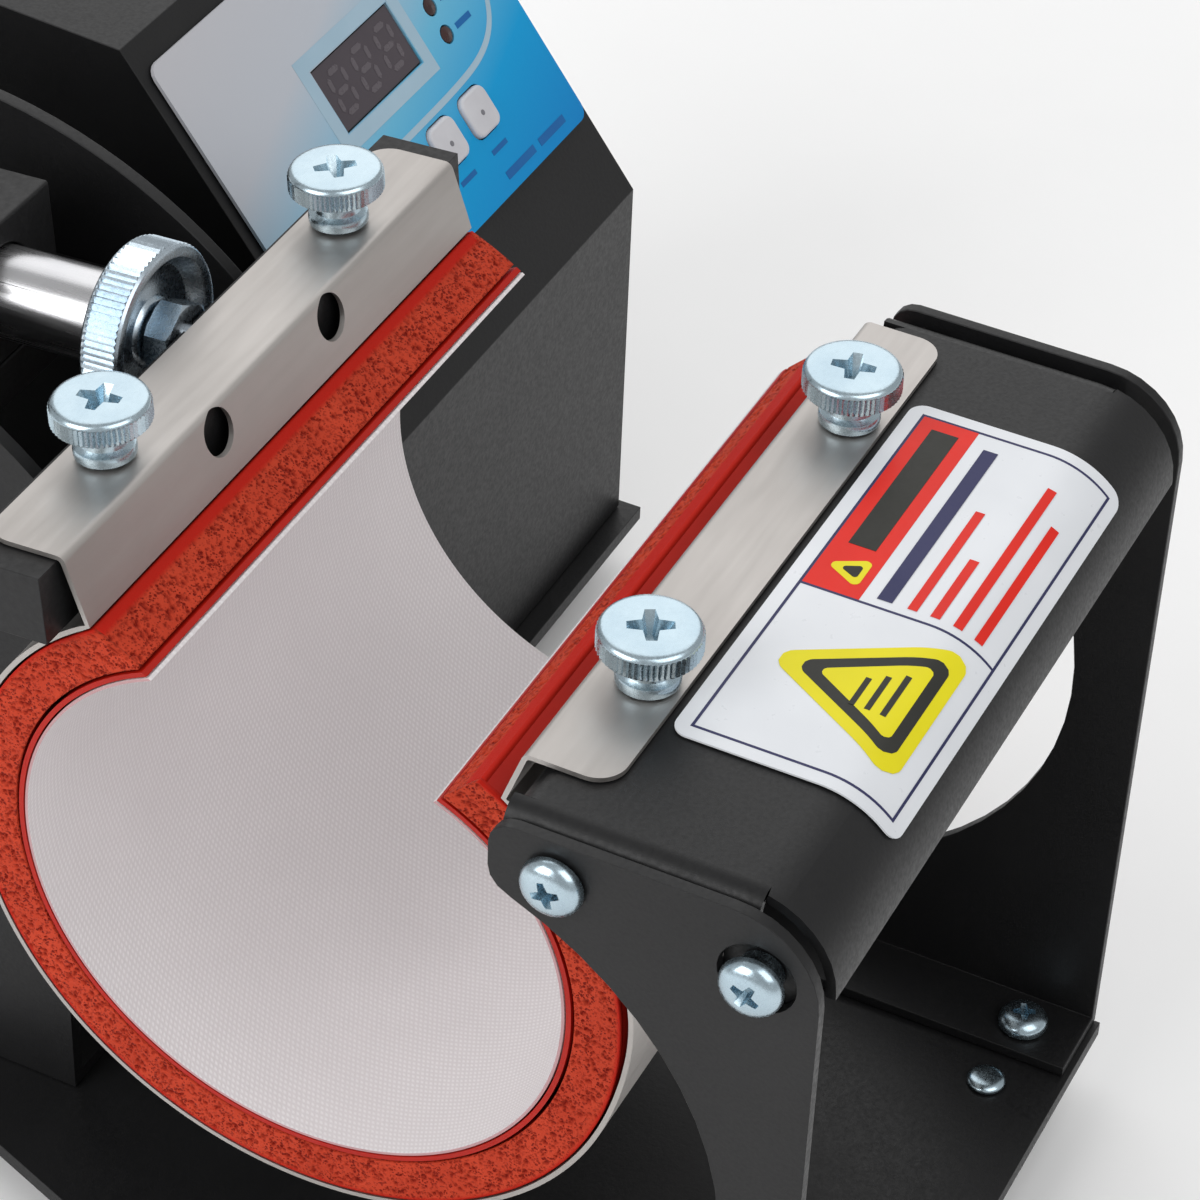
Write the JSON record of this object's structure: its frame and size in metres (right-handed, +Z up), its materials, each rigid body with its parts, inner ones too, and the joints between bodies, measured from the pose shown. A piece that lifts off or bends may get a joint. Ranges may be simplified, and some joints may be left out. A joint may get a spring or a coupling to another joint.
{
  "type": "mug heat press",
  "caption": "Bench press that wraps an omega-shaped silicone heater round a lying mug, closed by a lever, links and a sliding jaw, with a sloped control box.",
  "frame": {"origin": "on the floor under the middle of the whole press at rest, with the lever back", "axes": "+X along the mug from its mouth to its base, which is along the jaw bar; +Y from the user towards the lever; +Z up out of the base plate's top"},
  "size_m": [0.2382, 0.3472, 0.316],
  "materials": {
    "painted_1": "textured black powder coat",
    "brushed_steel_2": "zinc plated",
    "brushed_steel_3": "zinc plated",
    "matte_plastic_4": "light grey keys",
    "matte_plastic_5": "printed overlay, grey to blue",
    "gloss_plastic_6": "dark smoked window",
    "rubber_7": "matt black rubber",
    "brushed_steel_8": "bare steel band",
    "fabric_9": "off-white woven cloth",
    "rubber_10": "smooth red silicone",
    "rubber_11": "red silicone sponge",
    "painted_12": "textured black powder coat",
    "brushed_steel_13": "zinc plated",
    "brushed_steel_14": "zinc plated",
    "matte_plastic_15": "printed film",
    "gloss_plastic_16": "red indicator lamp",
    "painted_17": "textured black powder coat",
    "matte_plastic_18": "green circuit board",
    "matte_plastic_19": "black moulding",
    "gloss_plastic_20": "red rocker",
    "chrome_21": "polished plating",
    "brushed_steel_22": "zinc plated"
  },
  "bodies": {
    "stand": {"base_plate": "painted_1", "base_rivet": "brushed_steel_2", "base_screw": "brushed_steel_2", "board_tray": "brushed_steel_3", "bridge_screw_1": "brushed_steel_2", "bridge_screw_2": "brushed_steel_2", "control_box": "painted_1", "control_panel": "matte_plastic_5", "cover_screw_1": "brushed_steel_2", "cover_screw_2": "brushed_steel_2", "cover_spacer_1": "brushed_steel_3", "cover_spacer_2": "brushed_steel_3", "display_window": "gloss_plastic_6", "ear_nut_strip": "brushed_steel_3", "foot_1": "rubber_7", "foot_2": "rubber_7", "foot_3": "rubber_7", "foot_4": "rubber_7", "front_arm": "painted_1", "guide_bridge": "painted_1", "heater_band": "brushed_steel_8", "heater_lining": "fabric_9", "heater_mat": "rubber_10", "heater_sponge": "rubber_11", "jaw_cover": "painted_12", "label_plate": "matte_plastic_15", "led_1": "gloss_plastic_16", "led_2": "gloss_plastic_16", "lever_pivot_pin": "brushed_steel_14", "panel_board": "matte_plastic_18", "pivot_spacer_far": "brushed_steel_14", "pivot_spacer_near": "brushed_steel_14", "power_board": "matte_plastic_18", "power_inlet": "matte_plastic_19", "power_relay": "matte_plastic_19", "rear_arm": "painted_1", "rod_guide": "painted_1", "side_plate_far": "painted_1", "side_plate_near": "painted_1", "spacer_screw_1": "brushed_steel_2", "spacer_screw_2": "brushed_steel_2", "switch_frame": "matte_plastic_19"},
    "jaw": {"jaw_bar": "painted_1", "jaw_nut": "brushed_steel_13", "push_rod": "chrome_21"},
    "wheel": {"pressure_wheel": "brushed_steel_13"},
    "lever": {"lever_arm": "painted_17", "lever_grip": "rubber_7"},
    "link": {"link_near": "brushed_steel_14", "link_far": "brushed_steel_14", "rod_pin": "brushed_steel_14", "knee_pin": "brushed_steel_14"},
    "rocker": {"power_rocker": "gloss_plastic_20"},
    "key_1": {"button_1": "matte_plastic_4"},
    "key_2": {"button_2": "matte_plastic_4"},
    "key_3": {"button_3": "matte_plastic_4"},
    "screw_fixed_1": {"thumb_screw_fixed_1": "brushed_steel_22"},
    "screw_jaw_1": {"thumb_screw_jaw_1": "brushed_steel_22"},
    "screw_fixed_2": {"thumb_screw_fixed_2": "brushed_steel_22"},
    "screw_jaw_2": {"thumb_screw_jaw_2": "brushed_steel_22"}
  },
  "joints": [
    {"name": "lever_hinge", "type": "hinge", "parent": "stand", "child": "lever", "pos_m": [-0.0431, 0.07931, 0.11878], "axis": [1, 0, 0], "range_deg": [0, 40]},
    {"name": "jaw_slide", "type": "slide", "parent": "stand", "child": "jaw", "axis": [0, -0.9981, 0.061], "range_m": [0, 0.02191], "deforming": ["heater_band", "heater_sponge", "heater_mat", "heater_lining"]},
    {"name": "link_hinge", "type": "hinge", "parent": "lever", "child": "link", "pos_m": [-0.0431, 0.09207, 0.14813], "axis": [1, 0, 0], "range_deg": [-40, 0]},
    {"name": "wheel_spin", "type": "hinge", "parent": "jaw", "child": "wheel", "pos_m": [-0.0431, -0.02471, 0.15527], "axis": [0, 0.9981, -0.061], "continuous": true},
    {"name": "rocker_hinge", "type": "hinge", "parent": "stand", "child": "rocker", "pos_m": [0.0901, 0.0808, 0.0423], "axis": [1, 0, 0], "range_deg": [-18, 0]},
    {"name": "key_1_press", "type": "slide", "parent": "stand", "child": "key_1", "axis": [0, 0.7986, -0.6018], "range_m": [0, 0.0012], "stiffness_N_per_m": 400, "springref_m": -0.0002},
    {"name": "key_2_press", "type": "slide", "parent": "stand", "child": "key_2", "axis": [0, 0.7986, -0.6018], "range_m": [0, 0.0012], "stiffness_N_per_m": 400, "springref_m": -0.0002},
    {"name": "key_3_press", "type": "slide", "parent": "stand", "child": "key_3", "axis": [0, 0.7986, -0.6018], "range_m": [0, 0.0012], "stiffness_N_per_m": 400, "springref_m": -0.0002},
    {"name": "screw_fixed_1_spin", "type": "hinge", "parent": "stand", "child": "screw_fixed_1", "pos_m": [-0.0807, -0.1295, 0.1551], "axis": [0, 0, 1], "continuous": true},
    {"name": "screw_jaw_1_spin", "type": "hinge", "parent": "jaw", "child": "screw_jaw_1", "pos_m": [-0.0787, -0.03941, 0.16027], "axis": [0, 0.061, 0.9981], "continuous": true},
    {"name": "screw_fixed_2_spin", "type": "hinge", "parent": "stand", "child": "screw_fixed_2", "pos_m": [-0.0107, -0.1295, 0.1551], "axis": [0, 0, 1], "continuous": true},
    {"name": "screw_jaw_2_spin", "type": "hinge", "parent": "jaw", "child": "screw_jaw_2", "pos_m": [-0.0087, -0.03941, 0.16027], "axis": [0, 0.061, 0.9981], "continuous": true}
  ],
  "couplings": [
    {"joint": "jaw_slide", "follows": "lever_hinge", "m_per_rad": 0.031354},
    {"joint": "link_hinge", "follows": "lever_hinge", "ratio": -1}
  ]
}
